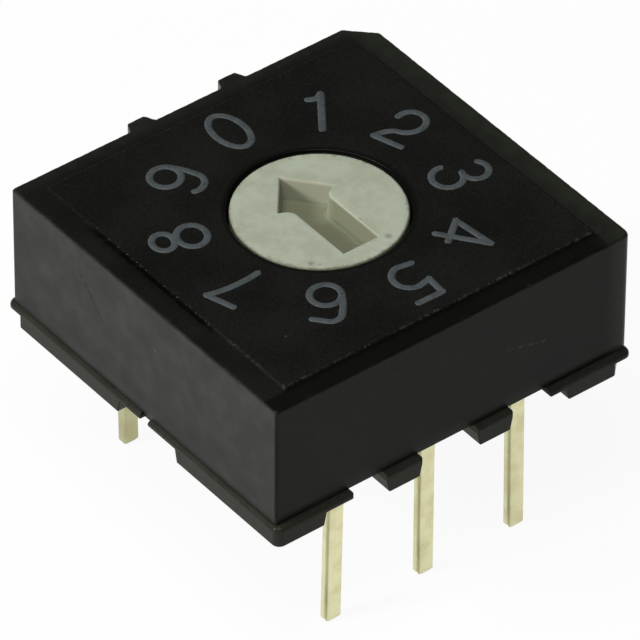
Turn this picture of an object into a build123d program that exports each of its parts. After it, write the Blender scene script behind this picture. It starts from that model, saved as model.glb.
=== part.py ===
from build123d import *
import os
from math import asin, atan2, cos, degrees, radians, sin

# Coded rotary switch for a circuit board, ten positions, turned with a screwdriver.
# Millimetres, +Z up. The origin is on the dial's axis, level with the undersides of the
# feet, which meet the board. The arrow in the dial points along -X, to the figure 0.

# Pins: two rows of three on the usual board grid
row_spacing = 7.62
pin_pitch = 2.54
pin_width = 0.40
pin_thick = 0.24
pin_length = 4.13           # below the feet
pin_point = 0.07
pin_bend = 0.12

# Case: an open-bottomed box with a raised panel on its roof
case_height = 3.25          # from the flange up to the roof's border
case_wall = 0.62
row_to_wall = 0.35          # from a pin row to the inner wall beside it
click_room = 0.78           # from the dial's shoulder to the inner Y walls
roof_thick = 0.62
cavity_round = 0.15         # vertical inner corners
corner_cut = 0.62           # the one cut corner, at -X +Y
edge_round = 0.05
panel_border_x = 0.51       # from the case's side to the panel
panel_border_y = 0.63
panel_rise = 0.06
panel_edge = 0.03
lug_base = 0.72             # two small lugs high on the -X wall
lug_tip = 0.42
lug_reach = 0.27
lug_height = 0.80
lug_slope = 0.20

# Base: flange, feet and the plug that fits inside the case
flange_overhang_x = 0.16    # past the case
flange_overhang_y = 0.08
flange_round = 0.20
flange_thick = 0.19
foot_height = 0.34
foot_depth = 0.72           # how far feet and teeth reach in from the flange's edge
foot_slope = 0.07           # lean of a foot's free end
foot_shift = 0.25           # of the corner feet along the X sides
rail_gap = 2.00             # between the two feet along a Y side
rail_shift = 0.24           # of that gap from the middle
corner_foot_cut = 0.50      # the two corners where the feet stop short
notch_depth = 0.54          # the X sides are cut away around the pins
notch_past_pin = 0.22
notch_shift = 0.11
notch_to_foot = 0.60        # from a notch's end to the corner foot's free end
tooth_width = 0.99          # the teeth stand between the pins
tooth_shift = 0.18          # from midway between them
centre_notch_width = 0.26
centre_notch_shift = 0.12
centre_notch_depth = 0.14
plug_height = 0.76
plug_fit = 0.03
post_x = 0.45               # four posts that carry the click springs
post_y = 0.45

# Terminals inside the base
terminal_foot = 0.91        # from a pin row to the foot's inner end
terminal_foot_width = 0.66

# Dial
positions = 10
shoulder_to_row = 0.31      # from the shoulder's rim to a pin row
shoulder_width = 1.50       # from the dial's face out to the shoulder's rim
dial_gap = 0.07
dial_drop = 0.03            # the dial's face lies this far below the panel
dial_round = 0.05
shoulder_thick = 0.50
shoulder_play = 0.05
notch_round = 0.80
click_depth = 0.22
pivot_radius = 0.55
pivot_gap = 0.05
pivot_floor = 0.75          # height of the socket's floor above the board
boss_side = 1.50

# Arrow slot in the dial's face
arrow_tip_rim = 0.59        # from the tip to the dial's rim
arrow_tail_rim = 0.53
arrow_head = 0.91           # from the tip back to the barbs
arrow_barb_half = 0.75
arrow_barb_sweep = 0.16     # the barbs' ends lie this far in front of the neck
arrow_shaft_half = 0.46
arrow_neck_round = 0.30
arrow_depth = 0.60

# Ring seal round the dial
seal_section = 0.50
seal_gap = 0.05             # to the dial
seal_fit = 0.02             # to its seat in the case
collar_wall = 0.42
collar_drop = 0.32

# Code plate under the dial and the springs that feel it
plate_thick = 0.15
plate_inset = 0.12          # inside the shoulder's rim
plate_rim = 0.28            # from the outer track to the plate's rim
plate_fit = 0.02
tracks = 4                  # inside them lies the common ring
track_pitch = 0.42
window_width = 0.30
contact_gap = 0.03
contact_thick = 0.08
contact_width = 0.24
contact_root = 0.71         # from a pin row to the spring's bend
contact_tab = 0.55
contact_nose = 0.25
contact_droop = 0.10
contact_angle = 50          # of a corner contact, from the X axis

# Click springs, one along each Y wall
click_thick = 0.10
click_height = 0.40
click_wall_gap = 0.03
click_end_gap = 0.10
click_nose_gap = 0.02
click_nose_round = 0.30
click_knee_round = 0.40
click_knee_x = 0.80
click_knee_rise = 0.60      # of the knee over the nose's corner
click_lift = 0.05           # over the shoulder's lower face

# Printed figures
figure_height = 1.26        # between the middles of the strokes
figure_width = 0.74
figure_margin = 0.31        # from the panel's edge to the nearest stroke's middle
stroke_width = 0.19
ink_thick = 0.02

# Heights over the board
flange_bottom = foot_height
flange_top = flange_bottom + flange_thick
plug_top = flange_top + plug_height
case_top = flange_top + case_height
panel_top = case_top + panel_rise
roof_bottom = case_top - roof_thick
dial_top = panel_top - dial_drop
collar_bottom = roof_bottom - collar_drop
shoulder_top = collar_bottom - shoulder_play
shoulder_bottom = shoulder_top - shoulder_thick
plate_bottom = shoulder_bottom - plate_thick
click_bottom = shoulder_bottom + click_lift

# Plan sizes that follow
shoulder_radius = row_spacing / 2 - shoulder_to_row
dial_radius = shoulder_radius - shoulder_width
cavity_x = row_spacing + 2 * row_to_wall
cavity_y = 2 * (shoulder_radius + click_room)
case_x = cavity_x + 2 * case_wall
case_y = cavity_y + 2 * case_wall
flange_x = case_x + 2 * flange_overhang_x
flange_y = case_y + 2 * flange_overhang_y
notch_end = pin_pitch + notch_past_pin
corner_foot_start = notch_end + notch_to_foot
plug_x = cavity_x - 2 * plug_fit
plug_y = cavity_y - 2 * plug_fit
seal_middle = dial_radius + seal_gap + seal_section / 2
seal_bore = seal_middle + seal_section / 2 + seal_fit
plate_radius = shoulder_radius - plate_inset
figure_radius = case_x / 2 - panel_border_x - figure_margin - figure_height / 2
step_angle = 360 / positions


def cut_square(size_x, size_y, cut):
    """Rectangle with one cut corner, at -X +Y."""
    with BuildSketch() as outline:
        Rectangle(size_x, size_y)
        chamfer(outline.vertices().sort_by(Axis((0, 0, 0), (-1, 1, 0)))[-1], cut)
    return outline.sketch


# Case
with BuildPart() as case:
    with BuildSketch(Plane.XY.offset(flange_top)):
        add(cut_square(case_x, case_y, corner_cut))
    extrude(amount=case_height)
    outer_edges = case.edges().filter_by(Axis.Z) + case.faces().sort_by(Axis.Z)[-1].edges()
    fillet(outer_edges, edge_round)
    with BuildSketch(Plane.XY.offset(case_top)):
        add(cut_square(case_x - 2 * panel_border_x, case_y - 2 * panel_border_y, corner_cut))
    extrude(amount=panel_rise)
    chamfer(case.faces().sort_by(Axis.Z)[-1].edges(), panel_edge)
    with BuildSketch(Plane.XY.offset(flange_top)):
        Rectangle(cavity_x, cavity_y)
        fillet(vertices(), cavity_round)
    extrude(amount=case_height - roof_thick, mode=Mode.SUBTRACT)
    with BuildSketch(Plane.XY.offset(collar_bottom)):
        Circle(seal_bore + collar_wall)
    extrude(amount=collar_drop + roof_thick / 2)
    with BuildSketch(Plane.XY.offset(collar_bottom)):
        Circle(seal_bore)
    extrude(amount=seal_section + 2 * seal_fit, mode=Mode.SUBTRACT)
    with BuildSketch(Plane.XY.offset(collar_bottom)):
        Circle(dial_radius + dial_gap)
    extrude(amount=panel_top - collar_bottom, mode=Mode.SUBTRACT)
    wall_face = -case_x / 2
    with BuildSketch(Plane.XY.offset(case_top - lug_height)):
        with Locations((wall_face, -pin_pitch / 2), (wall_face, pin_pitch / 2)):
            Polygon(
                (case_wall / 2, -lug_base / 2),
                (case_wall / 2, lug_base / 2),
                (0, lug_base / 2),
                (-lug_reach, lug_tip / 2),
                (-lug_reach, -lug_tip / 2),
                (0, -lug_base / 2),
                align=None,
            )
    extrude(amount=lug_height)
    lug_edges = case.edges().filter_by(Axis.Y).group_by(Axis.X)[0].group_by(Axis.Z)[0]
    chamfer(lug_edges, lug_slope)
case.part.label = "case"


def terminal_shape(side, row):
    """A pin and, at its top, the foot bent inwards and moulded into the base."""
    pin_middle = side * row_spacing / 2
    foot_end = pin_middle - side * terminal_foot
    pin_face = pin_middle + side * pin_thick / 2
    with BuildPart() as shape:
        with BuildSketch(Plane.XY.offset(-pin_length)):
            with Locations((pin_middle, row * pin_pitch)):
                Rectangle(pin_thick, pin_width)
        extrude(amount=pin_length + plug_top)
        chamfer(shape.faces().sort_by(Axis.Z)[0].edges(), pin_point)
        with BuildSketch(Plane.XY.offset(plug_top - pin_thick)):
            with Locations(((foot_end + pin_face) / 2, row * pin_pitch)):
                Rectangle(abs(pin_face - foot_end), terminal_foot_width)
        extrude(amount=pin_thick)
        bend = shape.faces().sort_by(Axis.Z)[-1].edges().filter_by(Axis.Y)
        fillet(bend.sort_by(Axis((0, 0, 0), (side, 0, 0)))[-1], pin_bend)
    return shape.part


# Name, side, row and track of each terminal; track 0 is the common ring
terminals = [
    ("1", 1, -1, 1),
    ("2", -1, -1, 2),
    ("4", 1, 1, 3),
    ("8", -1, 1, 4),
    ("common_left", -1, 0, 0),
    ("common_right", 1, 0, 0),
]
terminal_parts = {name: terminal_shape(side, row) for name, side, row, track in terminals}


def foot_outline(start, end, start_slope, end_slope):
    """Side view of a foot, from its start to its end, hanging from the flange."""
    with BuildSketch() as outline:
        Polygon(
            (start, flange_top),
            (start, flange_bottom),
            (start + start_slope, 0),
            (end - end_slope, 0),
            (end, flange_bottom),
            (end, flange_top),
            align=None,
        )
    return outline.sketch


# Base
with BuildPart() as base:
    with BuildSketch(Plane.XY.offset(flange_bottom)):
        Rectangle(flange_x, flange_y)
        notch_x = flange_x / 2 - notch_depth / 2
        with Locations((-notch_x, notch_shift), (notch_x, -notch_shift)):
            Rectangle(notch_depth, 2 * notch_end, mode=Mode.SUBTRACT)
        notch_y = flange_y / 2 - centre_notch_depth / 2
        with Locations((centre_notch_shift, -notch_y), (-centre_notch_shift, notch_y)):
            Rectangle(centre_notch_width, centre_notch_depth, mode=Mode.SUBTRACT)
    extrude(amount=flange_thick)
    for side in (1, -1):
        # one X side and one Y side; the other two are the same, turned half round
        with BuildSketch(Plane((side * flange_x / 2, 0, 0), x_dir=(0, side, 0), z_dir=(side, 0, 0))):
            for middle in (-pin_pitch / 2 - tooth_shift, pin_pitch / 2 - tooth_shift):
                add(foot_outline(middle - tooth_width / 2, middle + tooth_width / 2, foot_slope, foot_slope))
            add(foot_outline(-flange_y / 2, -corner_foot_start - foot_shift, 0, foot_slope))
            add(foot_outline(corner_foot_start - foot_shift, flange_y / 2, foot_slope, 0))
        extrude(amount=-foot_depth)
        with BuildSketch(Plane((0, -side * flange_y / 2, 0), x_dir=(side, 0, 0), z_dir=(0, -side, 0))):
            add(foot_outline(-flange_x / 2, rail_shift - rail_gap / 2, 0, foot_slope))
            add(foot_outline(rail_shift + rail_gap / 2, flange_x / 2, foot_slope, 0))
        extrude(amount=-foot_depth)
    with BuildSketch():
        # the feet stop short of the +X +Y and -X -Y corners
        for side in (1, -1):
            with Locations((side * flange_x / 2, side * flange_y / 2)):
                Polygon((0, 0), (-side * corner_foot_cut, 0), (0, -side * corner_foot_cut), align=None)
    extrude(amount=flange_bottom, mode=Mode.SUBTRACT)
    with BuildSketch() as base_outline:
        add(cut_square(flange_x, flange_y, corner_cut))
        fillet(base_outline.vertices(), flange_round)
    extrude(amount=flange_top, mode=Mode.INTERSECT)
    with BuildSketch(Plane.XY.offset(flange_top)):
        Rectangle(plug_x, plug_y)
        fillet(vertices(), cavity_round)
    extrude(amount=plug_height)
    with BuildSketch(Plane.XY.offset(plug_top)):
        with GridLocations(plug_x - post_x, plug_y - post_y, 2, 2):
            Rectangle(post_x, post_y)
        fillet(vertices(), cavity_round)
    extrude(amount=click_bottom - plug_top)
    with BuildSketch(Plane.XY.offset(pivot_floor)):
        Circle(pivot_radius + pivot_gap)
    extrude(amount=plug_top - pivot_floor, mode=Mode.SUBTRACT)
    for name in terminal_parts:
        add(terminal_parts[name], mode=Mode.SUBTRACT)
base.part.label = "base"

# Dial: the face with its arrow slot, the notched shoulder, the square boss and the pivot
with BuildPart() as dial:
    with BuildSketch(Plane.XY.offset(shoulder_bottom)):
        Circle(dial_radius)
    extrude(amount=dial_top - shoulder_bottom)
    fillet(dial.faces().sort_by(Axis.Z)[-1].edges(), dial_round)
    with BuildSketch(Plane.XY.offset(shoulder_bottom)):
        Circle(shoulder_radius)
        notch_middle = shoulder_radius - click_depth + notch_round
        with PolarLocations(notch_middle, positions, start_angle=90):
            Circle(notch_round, mode=Mode.SUBTRACT)
    extrude(amount=shoulder_thick)
    with BuildSketch(Plane.XY.offset(plate_bottom)):
        Rectangle(boss_side, boss_side)
    extrude(amount=plate_thick)
    with BuildSketch(Plane.XY.offset(pivot_floor + pivot_gap)):
        Circle(pivot_radius)
    extrude(amount=shoulder_bottom - pivot_floor - pivot_gap)
    with BuildSketch(Plane.XY.offset(dial_top)) as arrow:
        arrow_tip = arrow_tip_rim - dial_radius
        arrow_barb = arrow_tip + arrow_head
        arrow_neck = arrow_barb + arrow_barb_sweep
        arrow_tail = dial_radius - arrow_tail_rim
        Polygon(
            (arrow_tip, 0),
            (arrow_barb, -arrow_barb_half),
            (arrow_neck, -arrow_shaft_half),
            (arrow_tail, -arrow_shaft_half),
            (arrow_tail, arrow_shaft_half),
            (arrow_neck, arrow_shaft_half),
            (arrow_barb, arrow_barb_half),
            align=None,
        )
        # tip, barbs, necks and tail, in this order along X
        fillet(arrow.vertices().group_by(Axis.X)[2], arrow_neck_round)
    extrude(amount=-arrow_depth, mode=Mode.SUBTRACT)
dial.part.label = "dial"

# Ring seal
with BuildPart() as seal_ring:
    with BuildSketch(Plane.XZ):
        with Locations((seal_middle, collar_bottom + seal_fit + seal_section / 2)):
            Circle(seal_section / 2)
    revolve(axis=Axis.Z)
seal_ring.part.label = "seal_ring"


def track_radius(track):
    return plate_radius - plate_rim - (tracks - track) * track_pitch


def contact_place(side, row):
    """Angle about the dial's axis at which a terminal's spring touches the plate."""
    return degrees(atan2(row * sin(radians(contact_angle)), side * cos(radians(contact_angle * abs(row)))))


def open_runs(bit):
    """First position and length of each run in which a bit is off."""
    off = [not position >> bit & 1 for position in range(positions)]
    for start in range(positions):
        if off[start] and not off[start - 1]:
            length = 1
            while off[(start + length) % positions]:
                length += 1
            yield start, length


# Code plate: windows under a spring switch its bit off
with BuildPart() as code_plate:
    with BuildSketch(Plane.XY.offset(plate_bottom)):
        Circle(plate_radius)
        Rectangle(boss_side + 2 * plate_fit, boss_side + 2 * plate_fit, mode=Mode.SUBTRACT)
        for name, side, row, track in terminals:
            if track == 0:
                continue
            window_end = degrees(asin(window_width / 2 / track_radius(track)))
            for start, length in open_runs(track - 1):
                first = contact_place(side, row) + (start - 0.5) * step_angle + window_end
                sweep_angle = length * step_angle - 2 * window_end
                window_line = CenterArc((0, 0), track_radius(track), first, sweep_angle, mode=Mode.PRIVATE)
                SlotArc(window_line, window_width, mode=Mode.SUBTRACT)
    extrude(amount=plate_thick)
code_plate.part.label = "code_plate"


def contact_shape(side, row, track):
    """Flat spring, welded to its terminal's foot, that rises to the code plate."""
    root_x = side * (row_spacing / 2 - contact_root)
    root_y = row * pin_pitch
    place = radians(contact_place(side, row))
    run_x = track_radius(track) * cos(place) - root_x
    run_y = track_radius(track) * sin(place) - root_y
    length = Vector(run_x, run_y).length
    rise = plate_bottom - contact_gap - plug_top
    side_view = Plane(origin=(root_x, root_y, plug_top), x_dir=(run_x, run_y, 0), z_dir=(run_y, -run_x, 0))
    with BuildPart() as shape:
        with BuildSketch(side_view):
            Polygon(
                (-contact_tab, 0),
                (0, 0),
                (length, rise - contact_thick),
                (length + contact_nose, rise - contact_thick - contact_droop),
                (length + contact_nose, rise - contact_droop),
                (length, rise),
                (0, contact_thick),
                (-contact_tab, contact_thick),
                align=None,
            )
        extrude(amount=contact_width / 2, both=True)
    return shape.part


def click_shape(side):
    """Leaf spring on edge along a Y wall, its nose in one of the dial's notches."""
    wall_line = cavity_y / 2 - click_wall_gap - click_thick / 2
    end_x = cavity_x / 2 - click_end_gap
    half_corner = atan2(click_knee_rise, click_knee_x)
    nose_line = shoulder_radius - click_depth + click_nose_gap + click_thick / 2
    nose_corner = nose_line - click_nose_round * (1 / cos(half_corner) - 1)
    knee_y = nose_corner + click_knee_rise
    with BuildPart() as shape:
        with BuildSketch(Plane.XY.offset(click_bottom)):
            with BuildLine():
                FilletPolyline(
                    (-end_x, side * wall_line),
                    (-click_knee_x, side * knee_y),
                    (0, side * nose_corner),
                    (click_knee_x, side * knee_y),
                    (end_x, side * wall_line),
                    radius=[click_knee_round, click_nose_round, click_knee_round],
                )
            trace(line_width=click_thick)
        extrude(amount=click_height)
    return shape.part


# Strokes of the figures, in half widths and half heights from each figure's middle.
# A line has two points, an arc three, and a ring its middle and its two radii.
figure_strokes = {
    0: [("ring", (0, 0), (1, 1))],
    1: [("line", (0.30, 1), (0.30, -1)), ("arc", (-0.42, 0.66), (0.0, 0.72), (0.30, 1))],
    2: [
        ("arc", (-0.90, 0.46), (0.02, 1), (0.92, 0.40)),
        ("arc", (0.92, 0.40), (0.42, -0.22), (-0.95, -0.97)),
        ("line", (-0.95, -0.97), (1, -0.97)),
    ],
    3: [
        ("arc", (-0.80, 0.80), (0.72, 0.50), (-0.15, 0.06)),
        ("arc", (-0.15, 0.06), (0.93, -0.40), (-1, -0.58)),
    ],
    4: [
        ("line", (0.45, 1), (0.52, -1)),
        ("line", (0.45, 1), (-1, -0.50)),
        ("line", (-1, -0.50), (1, -0.46)),
    ],
    5: [
        ("line", (0.92, 0.94), (-0.84, 0.97)),
        ("line", (-0.84, 0.97), (-0.95, 0.14)),
        ("line", (-0.95, 0.14), (-0.15, 0.24)),
        ("arc", (-0.15, 0.24), (0.90, -0.38), (-0.05, -1)),
        ("line", (-0.05, -1), (-1, -0.90)),
    ],
    6: [
        ("ring", (0, -0.44), (0.96, 0.56)),
        ("arc", (-0.96, -0.44), (-0.74, 0.58), (-0.02, 0.98)),
        ("arc", (-0.02, 0.98), (0.50, 0.96), (0.92, 0.72)),
    ],
    7: [("line", (-0.95, 0.97), (0.97, 0.97)), ("arc", (0.97, 0.97), (0.12, 0.02), (-0.36, -1))],
    8: [("ring", (0, 0.60), (0.78, 0.40)), ("ring", (0, -0.46), (1, 0.54))],
    9: [
        ("ring", (0, 0.44), (0.96, 0.56)),
        ("arc", (0.96, 0.44), (0.74, -0.58), (0.02, -0.98)),
        ("arc", (0.02, -0.98), (-0.50, -0.96), (-0.92, -0.72)),
    ],
}


def figure_point(point):
    return (point[0] * figure_width / 2, point[1] * figure_height / 2)


def stroke_outline(kind, points):
    """One stroke of a figure at its full width, with round ends."""
    with BuildSketch() as stroke:
        if kind == "ring":
            reach_x, reach_y = figure_point(points[1])
            with Locations(figure_point(points[0])):
                Ellipse(reach_x + stroke_width / 2, reach_y + stroke_width / 2)
                Ellipse(reach_x - stroke_width / 2, reach_y - stroke_width / 2, mode=Mode.SUBTRACT)
        elif kind == "arc":
            arc = ThreePointArc(*[figure_point(point) for point in points], mode=Mode.PRIVATE)
            SlotArc(arc, stroke_width)
        else:
            line = Line(*[figure_point(point) for point in points], mode=Mode.PRIVATE)
            SlotArc(line, stroke_width)
    return stroke.sketch


# Printed figures, clockwise from 0 at -X, their tops outwards
with BuildPart() as figures:
    for position in range(positions):
        place = radians(180 - position * step_angle)
        figure_plane = Plane(
            origin=(figure_radius * cos(place), figure_radius * sin(place), panel_top),
            x_dir=(sin(place), -cos(place), 0),
            z_dir=(0, 0, 1),
        )
        with BuildSketch(figure_plane):
            for kind, *points in figure_strokes[position % len(figure_strokes)]:
                add(stroke_outline(kind, points))
        extrude(amount=ink_thick)
figures.part.label = "figures"

# One file for each piece
os.makedirs("parts", exist_ok=True)
for piece in (case, base, dial, seal_ring, code_plate, figures):
    export_step(piece.part, f"parts/{piece.part.label}.step")
for name, side, row, track in terminals:
    terminal = terminal_parts[name]
    terminal.label = f"terminal_{name}"
    export_step(terminal, f"parts/{terminal.label}.step")
    contact = contact_shape(side, row, track)
    contact.label = f"contact_{name}"
    export_step(contact, f"parts/{contact.label}.step")
for side, name in ((1, "click_spring_back"), (-1, "click_spring_front")):
    click_spring = click_shape(side)
    click_spring.label = name
    export_step(click_spring, f"parts/{name}.step")
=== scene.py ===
import math

import bmesh
import bpy
import numpy as np
from mathutils import Matrix, Vector


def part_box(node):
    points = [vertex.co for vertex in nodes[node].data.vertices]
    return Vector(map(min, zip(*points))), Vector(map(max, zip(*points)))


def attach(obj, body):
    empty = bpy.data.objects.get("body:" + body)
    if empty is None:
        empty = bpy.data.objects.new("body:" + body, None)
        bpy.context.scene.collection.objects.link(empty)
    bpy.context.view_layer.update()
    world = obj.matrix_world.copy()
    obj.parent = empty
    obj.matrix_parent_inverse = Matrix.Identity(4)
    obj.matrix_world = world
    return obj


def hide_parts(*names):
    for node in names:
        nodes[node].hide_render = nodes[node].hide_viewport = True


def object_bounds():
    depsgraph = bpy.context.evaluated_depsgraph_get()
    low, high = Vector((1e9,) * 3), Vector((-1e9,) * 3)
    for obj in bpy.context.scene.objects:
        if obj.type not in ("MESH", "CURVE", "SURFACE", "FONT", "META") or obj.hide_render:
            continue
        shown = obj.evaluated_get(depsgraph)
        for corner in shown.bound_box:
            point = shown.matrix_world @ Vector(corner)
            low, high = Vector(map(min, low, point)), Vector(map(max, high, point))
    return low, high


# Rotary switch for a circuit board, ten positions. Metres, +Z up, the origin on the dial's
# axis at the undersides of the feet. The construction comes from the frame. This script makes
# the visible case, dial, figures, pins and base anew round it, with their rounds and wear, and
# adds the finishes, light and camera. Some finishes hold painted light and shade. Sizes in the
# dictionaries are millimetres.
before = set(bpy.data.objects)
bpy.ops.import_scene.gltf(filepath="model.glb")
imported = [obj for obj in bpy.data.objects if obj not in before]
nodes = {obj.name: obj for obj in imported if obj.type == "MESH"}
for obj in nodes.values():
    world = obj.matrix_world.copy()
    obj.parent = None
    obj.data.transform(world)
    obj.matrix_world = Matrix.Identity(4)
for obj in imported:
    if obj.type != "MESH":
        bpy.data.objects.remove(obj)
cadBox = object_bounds()
mm = 0.001


def boxOf(name):
    # Lowest and highest corner of a node of the frame, in millimetres
    low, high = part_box(name)
    return np.array(low) / mm, np.array(high) / mm


# Helpers for meshes

def skinFaces(rows, columns, firstPole=False, lastPole=False):
    # Faces between closed rings of points, ring 0 on top and counter-clockwise from above.
    # Each quad runs from a ring down to the next one. Without poles the last ring joins the
    # first, and a pole is one more point after the rings that closes its end with triangles.
    closed = not (firstPole or lastPole)
    row = np.arange(rows if closed else rows - 1)[:, None]
    column = np.arange(columns)[None, :]
    below = (row + 1) % rows
    beside = (column + 1) % columns
    corners = [row * columns + column, below * columns + column,
               below * columns + beside, row * columns + beside]
    quads = np.stack(corners, axis=-1).reshape(-1, 4)
    here = np.arange(columns)
    fans = []
    if firstPole:
        fans.append(np.stack([np.full(columns, rows * columns), here, (here + 1) % columns], axis=-1))
    if lastPole:
        pole = rows * columns + int(firstPole)
        last = (rows - 1) * columns
        fans.append(np.stack([last + (here + 1) % columns, last + here, np.full(columns, pole)], axis=-1))
    return [quads, *fans]


def skin(rings, firstPole=None, lastPole=None):
    # Points and faces of a closed skin over an array of rings (ring, column, xyz)
    rows, columns = rings.shape[:2]
    poles = [np.asarray(pole, float)[None] for pole in (firstPole, lastPole) if pole is not None]
    points = np.concatenate([rings.reshape(-1, 3), *poles])
    return points, skinFaces(rows, columns, firstPole is not None, lastPole is not None)


def joined(skins):
    # Several skins as one set of points and faces
    offsets = np.cumsum([0] + [len(points) for points, faces in skins])
    points = np.concatenate([points for points, faces in skins])
    faces = [part + offset for (own, sets), offset in zip(skins, offsets) for part in sets]
    return points, faces


def makePiece(name, shape, body, replaced=(), sharp=40, marks=None):
    # A mesh object at the origin from a skin's points (mm) and faces, with a value for each
    # point where its material needs marks
    points, faceSets = shape
    sizes = np.concatenate([np.full(len(part), part.shape[1]) for part in faceSets])
    corners = np.concatenate([part.ravel() for part in faceSets])
    mesh = bpy.data.meshes.new(name)
    mesh.vertices.add(len(points))
    mesh.vertices.foreach_set("co", (points * mm).ravel())
    mesh.loops.add(len(corners))
    mesh.loops.foreach_set("vertex_index", corners)
    mesh.polygons.add(len(sizes))
    mesh.polygons.foreach_set("loop_start", np.concatenate([[0], np.cumsum(sizes)[:-1]]))
    mesh.update(calc_edges=True)
    mesh.validate()
    mesh.shade_smooth()
    mesh.set_sharp_from_angle(angle=math.radians(sharp))
    for mark, values in (marks or {}).items():
        mesh.attributes.new(mark, "FLOAT", "POINT").data.foreach_set("value", values)
    piece = bpy.data.objects.new(name, mesh)
    bpy.context.scene.collection.objects.link(piece)
    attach(piece, body)
    if replaced:
        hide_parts(*replaced)
    print(name, "made:", len(sizes), "faces")
    return piece


def ripple(along, waves, seed):
    # Smooth repeatable unevenness from -1 to 1 over a closed parameter from 0 to 1
    draw = np.random.default_rng(seed)
    total = np.zeros_like(along, dtype=float)
    for wave in waves:
        total += draw.uniform(0.5, 1.0) * np.sin(2 * np.pi * (wave * along + draw.uniform()))
    return total / len(waves)


def smoothStep(value, low, high):
    # 0 below low, 1 above high and 3 t^2 - 2 t^3 between them
    share = np.clip((value - low) / (high - low), 0, 1)
    return share * share * (3 - 2 * share)


# Helpers for materials

class Recipe:
    # A material's node tree, with one short call for each kind of node

    def __init__(self, name):
        self.material = bpy.data.materials.new(name)
        self.material.use_nodes = True
        self.tree = self.material.node_tree
        self.shader = self.tree.nodes["Principled BSDF"]
        self.place = self.node("ShaderNodeTexCoord").outputs["Object"]

    def node(self, kind, **settings):
        # A new node with its settings
        made = self.tree.nodes.new(kind)
        for key, value in settings.items():
            setattr(made, key, value)
        return made

    def plug(self, socket, value):
        # Links another node's output, or sets a fixed value
        if isinstance(value, bpy.types.NodeSocket):
            self.tree.links.new(value, socket)
        else:
            socket.default_value = value

    def noise(self, size, detail=2.0, roughness=0.5, stretch=(1, 1, 1), shift=(0, 0, 0)):
        # Noise with features of about size, in mm, stretched along an axis where asked
        mapping = self.node("ShaderNodeMapping")
        self.plug(mapping.inputs["Vector"], self.place)
        mapping.inputs["Scale"].default_value = [1 / (size * mm * s) for s in stretch]
        mapping.inputs["Location"].default_value = shift
        made = self.node("ShaderNodeTexNoise")
        self.plug(made.inputs["Vector"], mapping.outputs["Vector"])
        made.inputs["Scale"].default_value = 1.0
        made.inputs["Detail"].default_value = detail
        made.inputs["Roughness"].default_value = roughness
        return made.outputs["Fac"]

    def specks(self, spacing, radius):
        # Small round dots of up to radius, scattered about spacing apart, all in mm
        mapping = self.node("ShaderNodeMapping")
        self.plug(mapping.inputs["Vector"], self.place)
        mapping.inputs["Scale"].default_value = [1 / (spacing * mm)] * 3
        cells = self.node("ShaderNodeTexVoronoi")
        self.plug(cells.inputs["Vector"], mapping.outputs["Vector"])
        cells.inputs["Scale"].default_value = 1.0
        tint = self.node("ShaderNodeSeparateColor")
        self.plug(tint.inputs["Color"], cells.outputs["Color"])
        size = self.times(tint.outputs[0], radius / spacing)
        return self.ramp(cells.outputs["Distance"], self.times(size, 0.5), size, 1.0, 0.0)

    def ramp(self, value, low, high, start=0.0, end=1.0):
        # A value from low to high becomes start to end, smoothly and held at both ends
        made = self.node("ShaderNodeMapRange", interpolation_type="SMOOTHSTEP")
        self.plug(made.inputs["Value"], value)
        self.plug(made.inputs["From Min"], low)
        self.plug(made.inputs["From Max"], high)
        self.plug(made.inputs["To Min"], start)
        self.plug(made.inputs["To Max"], end)
        return made.outputs["Result"]

    def band(self, value, low, high, start=0.0, end=1.0):
        # The same for a length, from low to high in mm
        return self.ramp(value, low * mm, high * mm, start, end)

    def math(self, operation, a, b=0.0, clamp=False):
        # One operation on two numbers, each a fixed value or an output
        made = self.node("ShaderNodeMath", operation=operation, use_clamp=clamp)
        self.plug(made.inputs[0], a)
        self.plug(made.inputs[1], b)
        return made.outputs[0]

    def times(self, a, b):
        # The product of two numbers
        return self.math("MULTIPLY", a, b)

    def vector(self, operation, a, b, output="Vector"):
        # One operation on two vectors, or on a vector and the number that scales it
        made = self.node("ShaderNodeVectorMath", operation=operation)
        self.plug(made.inputs[0], a)
        self.plug(made.inputs["Scale" if operation == "SCALE" else 1], b)
        return made.outputs[output]

    def mark(self, name):
        # A value that the piece's mesh holds for each point
        return self.node("ShaderNodeAttribute", attribute_name=name).outputs["Fac"]

    def axes(self):
        # The place's X, Y and Z, in metres
        made = self.node("ShaderNodeSeparateXYZ")
        self.plug(made.inputs[0], self.place)
        return made.outputs

    def fromPoint(self, point):
        # Distance to a point given in mm
        return self.vector("DISTANCE", self.place, [v * mm for v in point], "Value")

    def fromAxis(self):
        # Distance to the dial's axis, the square root of x^2 + y^2
        x, y, z = self.axes()
        return self.math("SQRT", self.math("ADD", self.times(x, x), self.times(y, y)))

    def fromLine(self, start, end):
        # Distance to the straight line between two points given in mm
        begin = Vector(start) * mm
        run = (Vector(end) - Vector(start)) * mm
        away = self.vector("SUBTRACT", self.place, begin[:])
        share = self.vector("DOT_PRODUCT", away, (run / run.length_squared)[:], "Value")
        share = self.math("ADD", share, 0.0, clamp=True)
        return self.vector("DISTANCE", away, self.vector("SCALE", run[:], share), "Value")

    def mix(self, amount, a, b):
        # The colour a, turning into b as amount goes from 0 to 1
        made = self.node("ShaderNodeMix", data_type="RGBA")
        self.plug(made.inputs["Factor"], amount)
        self.plug(made.inputs["A"], a)
        self.plug(made.inputs["B"], b)
        return made.outputs["Result"]

    def bump(self, height, distance):
        # Bump of a height from 0 to 1 that is distance deep, in mm
        made = self.node("ShaderNodeBump")
        made.inputs["Strength"].default_value = 1.0
        made.inputs["Distance"].default_value = distance * mm
        self.plug(made.inputs["Height"], height)
        return made.outputs["Normal"]

    def finish(self, color, roughness, normal, **fixed):
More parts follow.
